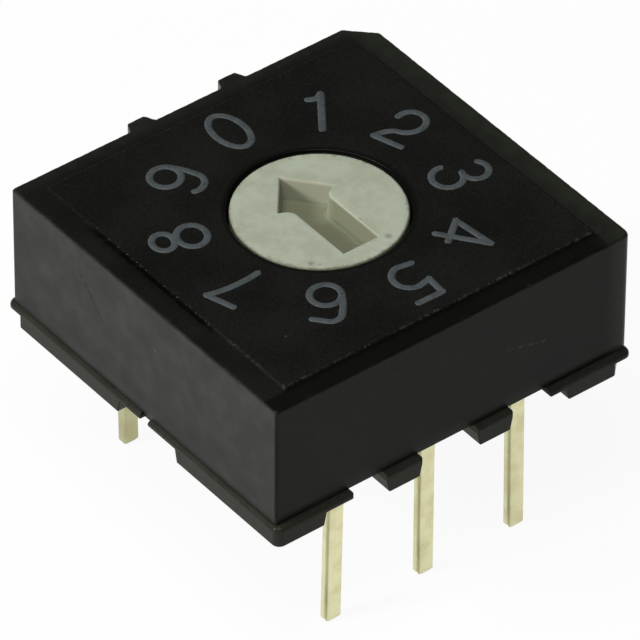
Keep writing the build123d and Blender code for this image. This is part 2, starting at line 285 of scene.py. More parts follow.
        # Plugs the results into the shader, and sets its other sockets
        self.plug(self.shader.inputs["Base Color"], color)
        self.plug(self.shader.inputs["Roughness"], roughness)
        self.plug(self.shader.inputs["Normal"], normal)
        for key, value in fixed.items():
            self.shader.inputs[key.replace("_", " ")].default_value = value
        return self.material


def srgb(red, green, blue):
    # A colour given as it looks on a screen, 0 to 255, as the shader's linear one
    shares = np.array([red, green, blue]) / 255
    linear = np.where(shares <= 0.04045, shares / 12.92, ((shares + 0.055) / 1.055) ** 2.4)
    return (*linear.tolist(), 1.0)


def paint(material, *pieces):
    # Gives the pieces one material in place of what they had
    for piece in pieces:
        piece.data.materials.clear()
        piece.data.materials.append(material)


print("frame loaded:", len(nodes), "nodes")


# Camera: long lens, seen from the corner between the +X and -Y sides

camera = {
    "aim": (0.037, 0.006, 0.660),
    "azimuth": 51.84,          # from -Y towards +X
    "elevation": 40.42,
    "roll": 0.353,
    "distance": 205.24,
    "lens": 519.3,
    "sensor": 36.0,
    "clip": (5.0, 10000.0),
}


def placeCamera(c):
    # The camera stands at a distance from what it aims at, in the direction of two angles
    azimuth = math.radians(c["azimuth"])
    elevation = math.radians(c["elevation"])
    away = Vector((math.sin(azimuth) * math.cos(elevation), -math.cos(azimuth) * math.cos(elevation),
                   math.sin(elevation)))
    data = bpy.data.cameras.new("camera")
    data.lens = c["lens"]
    data.sensor_width = c["sensor"]
    data.clip_start, data.clip_end = (value * mm for value in c["clip"])
    eye = bpy.data.objects.new("camera", data)
    turn = away.to_track_quat("Z", "Y").to_matrix().to_4x4()
    roll = Matrix.Rotation(math.radians(c["roll"]), 4, "Z")
    eye.matrix_world = Matrix.Translation((Vector(c["aim"]) + away * c["distance"]) * mm) @ turn @ roll
    bpy.context.scene.collection.objects.link(eye)
    bpy.context.scene.camera = eye


placeCamera(camera)


# Floor, world and lamps

studio = {
    "floorHalf": 400.0,
    "floorColor": srgb(235, 235, 233),
    "floorRough": 0.9,
    "cameraWhite": 0.93,       # share of the floor that always shows as white
    "glossWhite": 0.70,        # the same share in reflections
    "world": (0.12, 0.12, 0.12, 1.0),
    "key": {"at": (-50.0, -190.0, 118.0), "size": 65.0, "watts": 0.42, "tint": (1.0, 1.0, 0.98)},
    "top": {"at": (50.0, -70.0, 215.0), "size": 120.0, "watts": 0.31, "tint": (1.0, 1.0, 0.98)},
}


def addLamp(name, lamp):
    # A round area lamp that faces the origin
    data = bpy.data.lights.new(name, "AREA")
    data.shape = "DISK"
    data.size = lamp["size"] * mm
    data.energy = lamp["watts"]
    data.color = lamp["tint"]
    light = bpy.data.objects.new(name, data)
    at = Vector(lamp["at"])
    turn = at.normalized().to_track_quat("Z", "Y").to_matrix().to_4x4()
    light.matrix_world = Matrix.Translation(at * mm) @ turn
    bpy.context.scene.collection.objects.link(light)


def seenAsWhite(tree, lit, toCamera, toGloss):
    # Mixes a plain white into the floor: one share of it for the camera, and one for what
    # metal and clear plastic mirror
    path = tree.nodes.new("ShaderNodeLightPath")
    rays = {"Is Camera Ray": toCamera, "Is Glossy Ray": toGloss, "Is Transmission Ray": toGloss}
    shares = []
    for ray, share in rays.items():
        scaled = tree.nodes.new("ShaderNodeMath")
        scaled.operation = "MULTIPLY"
        scaled.inputs[1].default_value = share
        tree.links.new(path.outputs[ray], scaled.inputs[0])
        shares.append(scaled.outputs[0])
    while len(shares) > 1:
        larger = tree.nodes.new("ShaderNodeMath")
        larger.operation = "MAXIMUM"
        tree.links.new(shares.pop(), larger.inputs[0])
        tree.links.new(shares.pop(), larger.inputs[1])
        shares.append(larger.outputs[0])
    white = tree.nodes.new("ShaderNodeEmission")
    mixed = tree.nodes.new("ShaderNodeMixShader")
    tree.links.new(shares[0], mixed.inputs["Fac"])
    tree.links.new(lit, mixed.inputs[1])
    tree.links.new(white.outputs[0], mixed.inputs[2])
    return mixed.outputs[0]


def buildStudio(s):
    # A square floor under the lowest point, a world that is white to the camera, and two lamps
    low = min(corner[2] for corner in cadBox)
    half = s["floorHalf"] * mm
    mesh = bpy.data.meshes.new("floor")
    corners = [(-half, -half, low), (half, -half, low), (half, half, low), (-half, half, low)]
    mesh.from_pydata(corners, [], [(0, 1, 2, 3)])
    floor = bpy.data.objects.new("floor", mesh)
    bpy.context.scene.collection.objects.link(floor)
    material = bpy.data.materials.new("pale floor")
    material.use_nodes = True
    tree = material.node_tree
    shader = tree.nodes["Principled BSDF"]
    shader.inputs["Base Color"].default_value = s["floorColor"]
    shader.inputs["Roughness"].default_value = s["floorRough"]
    shown = seenAsWhite(tree, shader.outputs[0], s["cameraWhite"], s["glossWhite"])
    tree.links.new(shown, tree.nodes["Material Output"].inputs["Surface"])
    mesh.materials.append(material)

    world = bpy.data.worlds.new("studio")
    bpy.context.scene.world = world
    world.use_nodes = True
    sky = world.node_tree
    background = sky.nodes["Background"]
    background.inputs["Color"].default_value = s["world"]
    path = sky.nodes.new("ShaderNodeLightPath")
    white = sky.nodes.new("ShaderNodeBackground")
    mixed = sky.nodes.new("ShaderNodeMixShader")
    sky.links.new(path.outputs["Is Camera Ray"], mixed.inputs["Fac"])
    sky.links.new(background.outputs[0], mixed.inputs[1])
    sky.links.new(white.outputs[0], mixed.inputs[2])
    sky.links.new(mixed.outputs[0], sky.nodes["World Output"].inputs["Surface"])
    addLamp("key lamp", s["key"])
    addLamp("top lamp", s["top"])
    bpy.context.scene.view_settings.view_transform = "Standard"


buildStudio(studio)
print("camera, floor and lamps ready")


# Outlines in plan

def cutSquare(halfX, halfY, cut, rounding, inset=0.0, counts=(200, 180, 26, 180, 200), arc=7, guard=0.015):
    # A rectangle with one cut corner at -X +Y, counter-clockwise from the +X -Y corner.
    # Every corner is an arc of the given rounding, and the sides between the arcs have a fixed
    # number of points each, so that outlines of different size match point by point. The first
    # and the last of them stand a guard away from the arcs. An inset makes the cut smaller by
    # 2 - sqrt 2 times as much, down to 0.03 mm.
    hx, hy = halfX - inset, halfY - inset
    slant = max(cut - (2 - math.sqrt(2)) * inset, 0.03)
    corners = np.array([(hx, -hy), (hx, hy), (slant - hx, hy), (-hx, hy - slant), (-hx, -hy)])
    rounding = np.broadcast_to(rounding, len(corners))
    before = corners - np.roll(corners, 1, axis=0)
    after = np.roll(corners, -1, axis=0) - corners
    before /= np.linalg.norm(before, axis=1)[:, None]
    after /= np.linalg.norm(after, axis=1)[:, None]
    turn = np.arccos(np.clip((before * after).sum(axis=1), -1, 1))
    tangent = rounding * np.tan(turn / 2)
    starts, ends = corners - before * tangent[:, None], corners + after * tangent[:, None]
    pieces = []
    for i, count in enumerate(counts):
        heading = math.atan2(before[i, 1], before[i, 0]) - math.pi / 2
        middle = starts[i] - rounding[i] * np.array([math.cos(heading), math.sin(heading)])
        angles = heading + turn[i] * np.linspace(0, 1, arc)
        pieces.append(middle + rounding[i] * np.stack([np.cos(angles), np.sin(angles)], axis=1))
        run = starts[(i + 1) % len(counts)] - ends[i]
        near = guard / np.linalg.norm(run)
        share = np.concatenate([[near], np.linspace(near, 1 - near, count)[1:-1], [1 - near]])
        pieces.append(ends[i] + share[:, None] * run)
    return np.concatenate(pieces)


def circleLike(outline, radius):
    # The circle whose points lie in the same directions as an outline's
    angles = np.arctan2(outline[:, 1], outline[:, 0])
    return radius * np.stack([np.cos(angles), np.sin(angles)], axis=1)


def ring(outline, height):
    # An outline at one height, or at a height of its own for each point
    return np.column_stack([outline, np.broadcast_to(height, len(outline))])


def outwardOf(outline):
    # Unit vectors square to a closed outline: the run between each point's neighbours, turned
    run = np.roll(outline, -1, axis=0) - np.roll(outline, 1, axis=0)
    square = np.stack([run[:, 1], -run[:, 0]], axis=1)
    return square / np.linalg.norm(square, axis=1)[:, None]


def quarter(steps):
    # Angles over a quarter turn, ends included
    return np.linspace(0, np.pi / 2, steps)


def roundSteps(steps, radius):
    # Along a quarter round, what is left of it one way and how far it has come the other way:
    # pairs from (radius, 0) to (0, radius)
    return [(radius * (1 - math.sin(angle)), radius * (1 - math.cos(angle))) for angle in quarter(steps)]


# Black moulded case: a box with a raised panel on its roof, open below

case = {
    "wall": 0.62,
    "roof": 0.62,
    "cornerCut": 0.62,
    "cornerRound": (0.07, 0.20, 0.09, 0.09, 0.07),    # from +X -Y round to -X -Y
    "edgeRound": 0.07,
    "edgeWear": 0.018,         # unevenness of the top edge
    "farGrow": 0.07,           # the far wall stands out as far as the flange, beginning
    "farFrom": 0.3,            # this far before the cut corner
    "cavityCut": 0.07,
    "cavityRound": 0.12,
    "borderX": 0.51,           # from the case's side to the panel
    "borderY": 0.63,
    "panelRise": 0.06,
    "panelEdge": 0.03,
    "panelRound": 0.05,
    "rimBand": 0.12,           # the panel's rim is uneven within this band
    "footEase": ((0.0, 0.035), (0.006, 0.010), (0.020, 0.0)),    # insets and heights at the lower edge
    "hold": 0.02,              # rings this near an edge keep the face beside it flat
    "bore": 2.07,
    "boreRound": 0.035,
    "sealBore": 2.57,
    "sealSeat": 0.54,
    "collarWall": 0.42,
    "collarDrop": 0.32,
    "lugBase": 0.36,           # half widths of the two lugs
    "lugTip": 0.21,
    "lugHeight": 0.80,
    "lugSlope": 0.20,
    "pinPitch": 2.54,
}


# Wear of the panel's rim, with its painted highlight and painted shade, in places along X where not said
# otherwise
rimWearAndShading = {
    "burr": 0.016,             # unevenness, and how much rougher it is along the groove
    "burrWorn": 2.8,
    "gap": 0.030,              # depth of the worn groove along part of the -Y rim
    "gapFrom": (-2.8, -2.3),
    "gapTo": (1.5, 2.1),
    "hairFrom": (2.2, 2.4),    # a pale hairline, a painted highlight, follows the groove
    "hairTo": (3.4, 3.6),
    "right": (0.25, 0.75),     # how much wear and painted highlight the +X rim has all along, and in patches more
    "back": (0.3, 0.4),        # the same for the +Y rim, beyond backFrom
    "backFrom": 1.0,
    "front": (0.5, 0.12),      # how strong the hairline's painted highlight is, and the groove's patches of wear and painted highlight
    # painted shade down the +X rim's slope
    "rightRimShade": 0.85,
    # places on the rim with the most wear and painted highlight, and their reach
    "chips": [(4.27, -4.25, 0.10), (4.27, -3.33, 0.08), (4.27, -0.25, 0.35), (4.27, 1.9, 0.5),
              (4.27, 4.2, 0.12), (0.88, -4.22, 0.05)],
    "chipShare": 1.3,
}


def withLugs(outline, height, s, low, high):
    # Pushes the -X wall outwards at the lugs: a trapezium in plan, sloped at its lower end.
    # Only points on that wall move.
    halfX = high[0]
    reach = -low[0] - halfX
    y = outline[:, 1]
    aside = np.abs(np.abs(y) - s["pinPitch"] / 2)
    plan = 1 - smoothStep(aside, s["lugTip"], s["lugBase"])
    foot = high[2] - s["panelRise"] - s["lugHeight"]
    rise = np.clip((height - foot) / s["lugSlope"], 0, 1)
    onWall = smoothStep(-outline[:, 0], halfX - 0.10, halfX - 0.02)
    moved = outline.copy()
    moved[:, 0] -= reach * plan * rise * onWall
    return moved


def wornAndShadedRim(rim, s):
    # For each point of the panel's rim its unevenness, the depth of the worn groove, how much
    # wear and painted highlight it has, and how much painted shade lies in the groove and down
    # the +X slope: sums of sine waves along the rim, masked by the side that the point lies on
    along = np.linspace(0, 1, len(rim), endpoint=False)
    x, normal = rim[:, 0], outwardOf(rim)
    fine = ripple(along, (211, 307, 401), 4)
    ragged = s["burr"] * (0.5 * ripple(along, (37, 61, 89, 127), 3) + 0.5 * fine)
    patches = smoothStep(ripple(along, (23, 41, 67, 113), 5) + 0.5 * fine, -0.15, 0.45)
    onRight, onFront, onBack = (normal @ way > 0.9 for way in ([1, 0], [0, -1], [0, 1]))
    worn = smoothStep(x, *s["gapFrom"]) * onFront
    worn *= 1 - smoothStep(x, *s["gapTo"])
    ragged *= 1 + s["burrWorn"] * worn
    broken = np.clip(0.9 + 1.6 * ripple(along, (29, 53, 97, 151, 223, 281), 8), 0, 2)
    depth = s["gap"] * worn * broken
    hairline = smoothStep(x, *s["hairFrom"]) - smoothStep(x, *s["hairTo"])
    # wear and a painted highlight along the rim
    wearAndHighlight = onRight * (s["right"][0] + s["right"][1] * patches)
    wearAndHighlight += onBack * (x > s["backFrom"]) * (s["back"][0] + s["back"][1] * patches)
    wearAndHighlight += onFront * (s["front"][0] * hairline + s["front"][1] * patches * worn)
    for chipX, chipY, reach in s["chips"]:
        near = np.exp(-((rim - (chipX, chipY)) ** 2).sum(axis=1) / reach ** 2)
        wearAndHighlight = np.maximum(wearAndHighlight, s["chipShare"] * near)
    # painted shade in the worn groove and down the +X rim's slope
    rimShade = np.maximum(onRight * s["rightRimShade"], worn * np.clip(0.4 + depth / s["gap"], 0, 1))
    return {"aside": ragged[:, None] * normal, "crest": np.maximum(ragged, 0), "depth": depth,
            "worn": worn, "wearAndHighlight": wearAndHighlight, "rimShade": rimShade, "onRight": onRight}


def buildCase(s):
    # Closed skin of rings, each an outline at its height: panel, ragged rim, border, rounded
    # edge, outer wall, cavity, roof, collar, seal seat and bore, where the last joins the first.
    # Two marks go with it: light for wear with a painted highlight, dark for painted shade at the rim.
    low, high = boxOf("case")
    halfX, halfY = high[0], high[1]
    floor, panelTop = low[2], high[2]
    top = panelTop - s["panelRise"]

    def bare(inset=0.0):
        # The case's own outline, with its far wall moved out
        outline = cutSquare(halfX, halfY, s["cornerCut"], s["cornerRound"], inset)
        outline[:, 1] += s["farGrow"] * (outline[:, 1] > halfY - s["cornerCut"] - s["farFrom"])
        return outline

    # the panel, flat up to its rim, and the slope from the rim down to the border
    flat = {"halfX": halfX - s["borderX"], "halfY": halfY - s["borderY"], "cut": s["cornerCut"],
            "rounding": s["panelRound"]}
    rim = cutSquare(**flat)
    wear = wornAndShadedRim(rim, rimWearAndShading)
    depth, worn, wearAndHighlight, rimShade = (wear[key] for key in ("depth", "worn", "wearAndHighlight", "rimShade"))

    def rimRing(offset, height):
        return ring(cutSquare(**flat, inset=-offset) + 0.6 * wear["aside"], height)

    wide = circleLike(rim, s["bore"] + s["boreRound"])
    inner = cutSquare(**flat, inset=s["rimBand"])
    panelRows = [ring(wide + share * (inner - wide), panelTop)
                 for share in (0.02, 0.10, 0.22, 0.36, 0.52, 0.68, 0.84, 0.96, 1.0)]
    first, slope = len(panelRows), s["panelEdge"]
    crest = panelTop + 0.4 * wear["crest"]
    panelRows += [rimRing(-0.050, panelTop), rimRing(-0.022, crest), rimRing(0.0, crest - 0.008),
                  rimRing(0.5 * slope, panelTop - 0.5 * s["panelRise"]), rimRing(slope, top + 0.004 - depth),
                  rimRing(slope + 0.040, top - 0.9 * depth), rimRing(slope + 0.075, top)]
    # wear with a painted highlight at the rim's crest, painted shade down the slope beside it
    wearHighlightRows = {first: 0.35 * np.maximum(wearAndHighlight - 0.75, 0), first + 1: 0.9 * wearAndHighlight,
                  first + 2: wearAndHighlight, first + 3: 0.4 * wearAndHighlight}
    rimShadeRows = {first + 2: 0.5 * worn, first + 3: np.maximum(0.4 * rimShade, worn), first + 4: rimShade,
                 first + 5: rimShade, first + 6: rimShade * (0.3 + 0.4 * wear["onRight"])}

    # border, rounded edge with small chips, and outer wall
    borderRows = [ring(bare(inset), top) for inset in (0.34, 0.2)]
    outer = bare()
    facing = outwardOf(outer)
    along = np.linspace(0, 1, len(outer), endpoint=False)
    chipped = s["edgeWear"] * np.maximum(ripple(along, (31, 59, 83, 131, 197), 11), -0.2)
    edge = s["edgeRound"]

    def edgeRing(inset, height, weight):
        outline = bare(inset) - (weight * (chipped + 0.2 * s["edgeWear"]))[:, None] * facing
        return ring(withLugs(outline, height, s, low, high), height)

    borderRows.append(edgeRing(edge + 0.015, top, 1))
    shown = smoothStep(ripple(along, (17, 43, 71, 109), 12), 0.25, 0.6)
    # patches of wear with a painted highlight on the rounded edge
    for angle, (inset, down) in zip(quarter(6), roundSteps(6, edge)):
        wearHighlightRows[len(panelRows) + len(borderRows)] = 0.35 * shown * math.sin(2 * angle)
        borderRows.append(edgeRing(inset, top - down, math.cos(angle)))
    foot, slopeTop, hold = top - s["lugHeight"], top - s["lugHeight"] + s["lugSlope"], s["hold"]
    heights = (top - edge - 0.015, top - 0.3, slopeTop + hold, slopeTop, foot + s["lugSlope"] / 2, foot,
               foot - hold, floor + 1.2, floor + 0.4)
    wallRows = [ring(withLugs(outer, height, s, low, high), height) for height in heights]
    wallRows += [ring(bare(inset), floor + height) for inset, height in s["footEase"]]

    # under side: mouth, cavity, roof, collar, seal seat and bore
    mouth = cutSquare(halfX - s["wall"], halfY - s["wall"], s["cavityCut"], s["cavityRound"])
    roof = top - s["roof"]
    collar, seat, neck = (circleLike(mouth, radius) for radius in
                          (s["sealBore"] + s["collarWall"], s["sealBore"], s["bore"]))
    seatTop = roof - s["collarDrop"] + s["sealSeat"]
    underRows = [ring(mouth, floor), ring(mouth, floor + hold), ring(mouth, roof - hold), ring(mouth, roof),
                 ring(mouth + 0.02 * (collar - mouth), roof), ring(mouth + 0.97 * (collar - mouth), roof),
                 ring(collar, roof), ring(collar, roof - s["collarDrop"]),
                 ring(seat, roof - s["collarDrop"]), ring(seat, seatTop), ring(neck, seatTop)]
    neck = circleLike(rim, s["bore"])
    for down, outwards in roundSteps(5, s["boreRound"]):
        underRows.append(ring(neck * (1 + outwards / s["bore"]), panelTop - down))

    rows = np.stack([*panelRows, *borderRows, *wallRows, *underRows])
    light, dark = np.zeros(rows.shape[:2]), np.zeros(rows.shape[:2])
    for marks, values in ((light, wearHighlightRows), (dark, rimShadeRows)):
        for row, value in values.items():
            marks[row] = np.clip(value, 0, 1)
    return skin(rows), {"wearAndHighlight": light.ravel(), "rimShade": dark.ravel()}


caseShape, caseMarks = buildCase(case)
casePiece = makePiece("moulded_case", caseShape, "housing", ["case"], marks=caseMarks)


# Dial: one moulding with an arrow-shaped slot, a notched shoulder, a boss and a pivot

dial = {
    "radius": 2.0,
    "edgeRound": 0.06,
    "shoulderUp": 1.49,        # from the pivot's end to the shoulder's under side
    "shoulderThick": 0.50,
    "positions": 10,
    "notchRound": 0.80,
    "notchDepth": 0.22,
    "bossHalf": 0.75,
    "bossThick": 0.15,
    "pivotRadius": 0.55,
    "pivotTip": (0.92, 0.04),  # share of the radius at its end, and the height of that taper
    "slotMiddle": -0.30,       # a point on the X axis that sees the whole outline
    "tip": -1.41,
    "barb": (-0.50, 0.75),
    "neck": (-0.34, 0.46),
    "neckRound": 0.30,
    "tail": (1.47, 0.46),
    "slotDepth": 0.60,
    "slotDraft": 0.03,
    "slotFoot": 0.08,          # rounding along the floor of the slot
    "slotRim": 0.055,
    "columns": 1200,
}


def arrowLine(s, inset=0.0, steps=60, bendSteps=24):
    # The slot's outline as a closed dense line, counter-clockwise from the -Y side of its tail.
    # A corner moves inwards along the sum of its two sides' normals over one plus their
    # product, so that both sides move by the inset.
    barb, neck, tail = (np.array(s[key]) for key in ("barb", "neck", "tail"))
    mirror = np.array([1, -1])
    slope, shaft = neck - barb, np.array([1.0, 0.0])
    slope = slope / np.linalg.norm(slope)
    turn = math.acos(slope @ shaft)
    middle = neck + shaft * s["neckRound"] * math.tan(turn / 2) + [0, s["neckRound"]]
    sweep = np.linspace(0, turn, bendSteps)[:, None]
    bend = middle - s["neckRound"] * np.hstack([np.sin(sweep), np.cos(sweep)])
    corners = np.array([tail * mirror, tail, *bend, barb, (s["tip"], 0), barb * mirror,
                        *(bend * mirror)[::-1]])
    sides = np.roll(corners, -1, axis=0) - corners
    normals = np.stack([sides[:, 1], -sides[:, 0]], axis=1) / np.linalg.norm(sides, axis=1)[:, None]
    before = np.roll(normals, 1, axis=0)
    corners = corners - inset * (before + normals) / (1 + (before * normals).sum(axis=1))[:, None]
    share = np.linspace(0, 1, steps, endpoint=False)[None, :, None]
    line = corners[:, None] + share * (np.roll(corners, -1, axis=0) - corners)[:, None]
    sharp = steps * np.array([0, 1, 2 + len(bend), 3 + len(bend), 4 + len(bend)])
    return line.reshape(-1, 2), sharp


def alongLine(line, index):
    # Points of a closed line at fractional places in its list
    closed = np.vstack([line, line[:1]])
    return np.stack([np.interp(index, np.arange(len(closed)), closed[:, k]) for k in (0, 1)], axis=1)


def buildDial(s):
    # Closed skin of rings, from the middle of the slot's floor outwards and down to the pivot.
    # A column keeps its place along the arrow at every inset, and runs on to the circle along
    # a straight ray. Below are circles, the notched shoulder, a square boss and the pivot.
    low, high = boxOf("dial")
    top, bottom, end = high[2], low[2] + s["shoulderUp"], low[2]
    centre = np.array([s["slotMiddle"], 0])
    line, sharp = arrowLine(s)
    angles = np.linspace(0, 2 * np.pi, s["columns"], endpoint=False)
    even = s["radius"] * np.stack([np.cos(angles), np.sin(angles)], axis=1) - centre
    seen = np.unwrap(np.arctan2(line[:, 1], line[:, 0] - centre[0]))
    rays = seen[0] + (np.arctan2(even[:, 1], even[:, 0]) - seen[0]) % (2 * np.pi)
    rays[np.abs(rays[None] - seen[sharp][:, None]).argmin(axis=1)] = seen[sharp]
    index = np.interp(rays, [*seen, seen[0] + 2 * np.pi], np.arange(len(line) + 1))
    direction = np.stack([np.cos(rays), np.sin(rays)], axis=1)
    towards = direction @ centre
    far = np.sqrt(towards ** 2 + s["radius"] ** 2 - centre @ centre) - towards
    circle = centre + far[:, None] * direction

    def slotRing(inset):
        return alongLine(arrowLine(s, inset)[0], index)

    floor = top - s["slotDepth"]
    inner = slotRing(s["slotDraft"] + s["slotFoot"])
    rows = [ring(centre + share * (inner - centre), floor) for share in (0.1, 0.35, 0.6, 0.8, 0.95)]
    for inwards, up in roundSteps(6, s["slotFoot"]):
        rows.append(ring(slotRing(s["slotDraft"] + inwards), floor + up))
    rows.append(ring(slotRing(0.5 * s["slotDraft"]), (floor + s["slotFoot"] + top - s["slotRim"]) / 2))
    for down, outwards in roundSteps(6, s["slotRim"]):
        rows.append(ring(slotRing(-outwards), top - down))
    rim = slotRing(-s["slotRim"])
    edge = circle * (1 - s["edgeRound"] / s["radius"])
    rows += [ring(rim + share * (edge - rim), top) for share in (0.03, 0.2, 0.4, 0.6, 0.8, 0.97)]
    for inwards, down in roundSteps(6, s["edgeRound"]):
        rows.append(ring(circle * (1 - inwards / s["radius"]), top - down))

    turned = circle / s["radius"]
    shoulder = high[0]
    away = shoulder - s["notchDepth"] + s["notchRound"]
    step = 2 * np.pi / s["positions"]
    aside = (np.arctan2(turned[:, 1], turned[:, 0]) - np.pi / 2 + step / 2) % step - step / 2
    inside = s["notchRound"] ** 2 - (away * np.sin(aside)) ** 2
    scoop = away * np.cos(aside) - np.sqrt(np.maximum(inside, 0))
    notched = turned * np.minimum(np.where(inside > 0, scoop, shoulder), shoulder)[:, None]
    square = s["bossHalf"] * turned / np.abs(turned).max(axis=1)[:, None]
    pivot = s["pivotRadius"] * turned
    shoulderTop, bossEnd = bottom + s["shoulderThick"], bottom - s["bossThick"]
    rows += [ring(circle, shoulderTop + 0.02), ring(circle, shoulderTop), ring(notched, shoulderTop),
             ring(notched, bottom), ring(square, bottom), ring(square, bossEnd), ring(pivot, bossEnd),
             ring(pivot, end + s["pivotTip"][1]), ring(s["pivotTip"][0] * pivot, end)]
    return skin(np.stack(rows), firstPole=(*centre, floor), lastPole=(0, 0, end))


dialPiece = makePiece("moulded_dial", buildDial(dial), "dial", ["dial"])


# Printed figures 0 to 9, raised strokes of ink

figures = {
    "height": 1.26,            # between the middles of the strokes
    "width": 0.74,
    "centre": (-0.06, 0.09),   # the print sits a little off the dial's axis
    "radius": 3.30,
    "stroke": 0.165,
    "ragged": 0.03,
    "sunk": 0.006,             # how far the ink reaches into the panel
    "positions": 10,
    "steps": {"ring": 96, "line": 48, "arc": 48},
}

# Strokes in half widths and half heights from each figure's middle: a line has two points,
# an arc three, and a ring its middle and its two radii
figureStrokes = [
    [("ring", (0, 0), (1, 1))],
    [("line", (0.32, 1), (0.32, -1)), ("line", (0.36, 0.99), (0.36, -0.99)),
     ("arc", (-0.46, 0.68), (0.0, 0.73), (0.30, 1)), ("line", (-0.40, 0.68), (0.30, 0.76))],
    [("arc", (-0.90, 0.42), (0.02, 0.99), (0.92, 0.42)), ("arc", (0.92, 0.42), (0.70, 0.03), (-0.24, -0.29)),
     ("arc", (-0.24, -0.29), (-0.75, -0.55), (-1.10, -0.95)), ("line", (-1.10, -0.95), (0.85, -0.94))],
    [("arc", (-0.80, 0.80), (0.72, 0.50), (-0.15, 0.06)),
     ("arc", (-0.15, 0.06), (0.93, -0.40), (-1, -0.58))],
    [("line", (0.45, 1), (0.52, -1)), ("line", (0.45, 1), (-1, -0.50)), ("line", (-1, -0.50), (1, -0.46))],
    [("line", (0.92, 0.94), (-0.84, 0.97)), ("line", (-0.84, 0.97), (-0.95, 0.14)),
     ("line", (-0.95, 0.14), (-0.15, 0.24)), ("arc", (-0.15, 0.24), (0.90, -0.38), (-0.05, -1)),
     ("line", (-0.05, -1), (-1, -0.90))],
    [("ring", (0, -0.44), (0.96, 0.56)), ("arc", (-0.96, -0.44), (-1.0, 0.05), (-0.93, 0.50)),
     ("arc", (-0.93, 0.50), (-0.70, 0.86), (-0.15, 0.98)), ("line", (-0.15, 0.98), (0.85, 0.84))],
    [("line", (-0.95, 0.97), (0.97, 0.97)), ("arc", (0.97, 0.97), (0.12, 0.02), (-0.36, -1))],
    [("ring", (0, 0.60), (0.78, 0.40)), ("ring", (0, -0.46), (1, 0.54))],
    [("ring", (0, 0.44), (0.96, 0.56)), ("arc", (0.96, 0.44), (0.97, -0.05), (0.84, -0.50)),
     ("arc", (0.84, -0.50), (0.50, -0.88), (0.02, -0.98)),
     ("arc", (0.02, -0.98), (-0.42, -0.94), (-0.80, -0.77))],
]


def throughThree(a, b, c, share):
    # Points along the circle's arc that starts at a, passes b and ends at c
    matrix = 2 * np.array([b - a, c - a])
    middle = np.linalg.solve(matrix, [b @ b - a @ a, c @ c - a @ a])
    angles = [math.atan2(*(point - middle)[::-1]) for point in (a, b, c)]
    toB, toC = ((angle - angles[0]) % (2 * math.pi) for angle in angles[1:])
    sweep = toC if toB < toC else toC - 2 * math.pi
    turned = angles[0] + sweep * share
    return middle + np.linalg.norm(a - middle) * np.stack([np.cos(turned), np.sin(turned)], axis=1)


def strokeSkin(kind, points, s, top, low, seed):
    # A ribbon of ink along a stroke: a crowned section, ragged sides and round ends.
    # Across it the height falls as 1 - u^4 from the middle to the sides at u = -1 and 1, and
    # towards a free end the half width follows a circle.
    half = s["stroke"] / 2
    scale = np.array([s["width"], s["height"]]) / 2
    points = [np.array(point) * scale for point in points]
    if kind == "ring":
        turned = np.linspace(0, 2 * np.pi, s["steps"][kind], endpoint=False)
        line = points[0] + points[1] * np.stack([np.cos(turned), np.sin(turned)], axis=1)
        ahead = np.roll(line, -1, axis=0) - np.roll(line, 1, axis=0)
        width = np.full(len(line), half)
    else:
        share = np.linspace(0, 1, s["steps"][kind])
        line = points[0] + share[:, None] * (points[-1] - points[0])
        if kind == "arc":
            line = throughThree(*points, share)
        bow = half * (1 - np.cos(quarter(8)[:-1]))
        firstRun, lastRun = line[1] - line[0], line[-1] - line[-2]
        before = line[0] + (bow - half)[:, None] * firstRun / np.linalg.norm(firstRun)
        after = line[-1] + (half - bow[::-1])[:, None] * lastRun / np.linalg.norm(lastRun)
        line = np.concatenate([before[1:], line, after[:-1]])
        ahead = np.gradient(line, axis=0)
        ends = np.sqrt(half ** 2 - (half - bow[1:]) ** 2)
        width = np.concatenate([ends, np.full(len(share), half), ends[::-1]])
    side = np.stack([-ahead[:, 1], ahead[:, 0]], axis=1)
    side /= np.linalg.norm(side, axis=1)[:, None]
    along = np.linspace(0, 1, len(line), endpoint=False)
    crown, under = np.linspace(-1, 1, 9), np.linspace(1, -1, 4)[1:-1]
    across = np.concatenate([crown, under])
    height = np.concatenate([low + (top - low) * (1 - crown ** 4), np.full(len(under), low - s["sunk"])])
    ragged = [1 + s["ragged"] * ripple(along, (3, 5, 8, 13), seed + k) for k in (0, 1)]
    reach = width[:, None] * across * np.where(across > 0, ragged[0][:, None], ragged[1][:, None])
    plan = line[:, None] + reach[:, :, None] * side[:, None]
    rings = np.concatenate([plan, np.broadcast_to(height, reach.shape)[:, :, None]], axis=2)
    if kind == "ring":
        return skin(rings)
    first, last = rings[0].mean(axis=0), rings[-1].mean(axis=0)
    return skin(rings, firstPole=first, lastPole=last)


def buildFigures(s):
    # Clockwise from 0 at -X, every figure with its top outwards
    low, high = boxOf("figures")
    skins = []
    for position, strokes in enumerate(figureStrokes):
        place = math.pi - position * 2 * math.pi / s["positions"]
        right = np.array([math.sin(place), -math.cos(place), 0])
        up = np.array([math.cos(place), math.sin(place), 0])
        for number, (kind, *points) in enumerate(strokes):
            shape, faces = strokeSkin(kind, points, s, high[2], low[2], 10 * position + number)
            placed = (*s["centre"], 0) + shape[:, :1] * right + (shape[:, 1:2] + s["radius"]) * up
            placed[:, 2] = shape[:, 2]
            skins.append((placed, faces))
    return joined(skins)


figurePiece = makePiece("figure_print", buildFigures(figures), "housing", ["figures"])


# Stamped pins with the feet that are moulded into the base

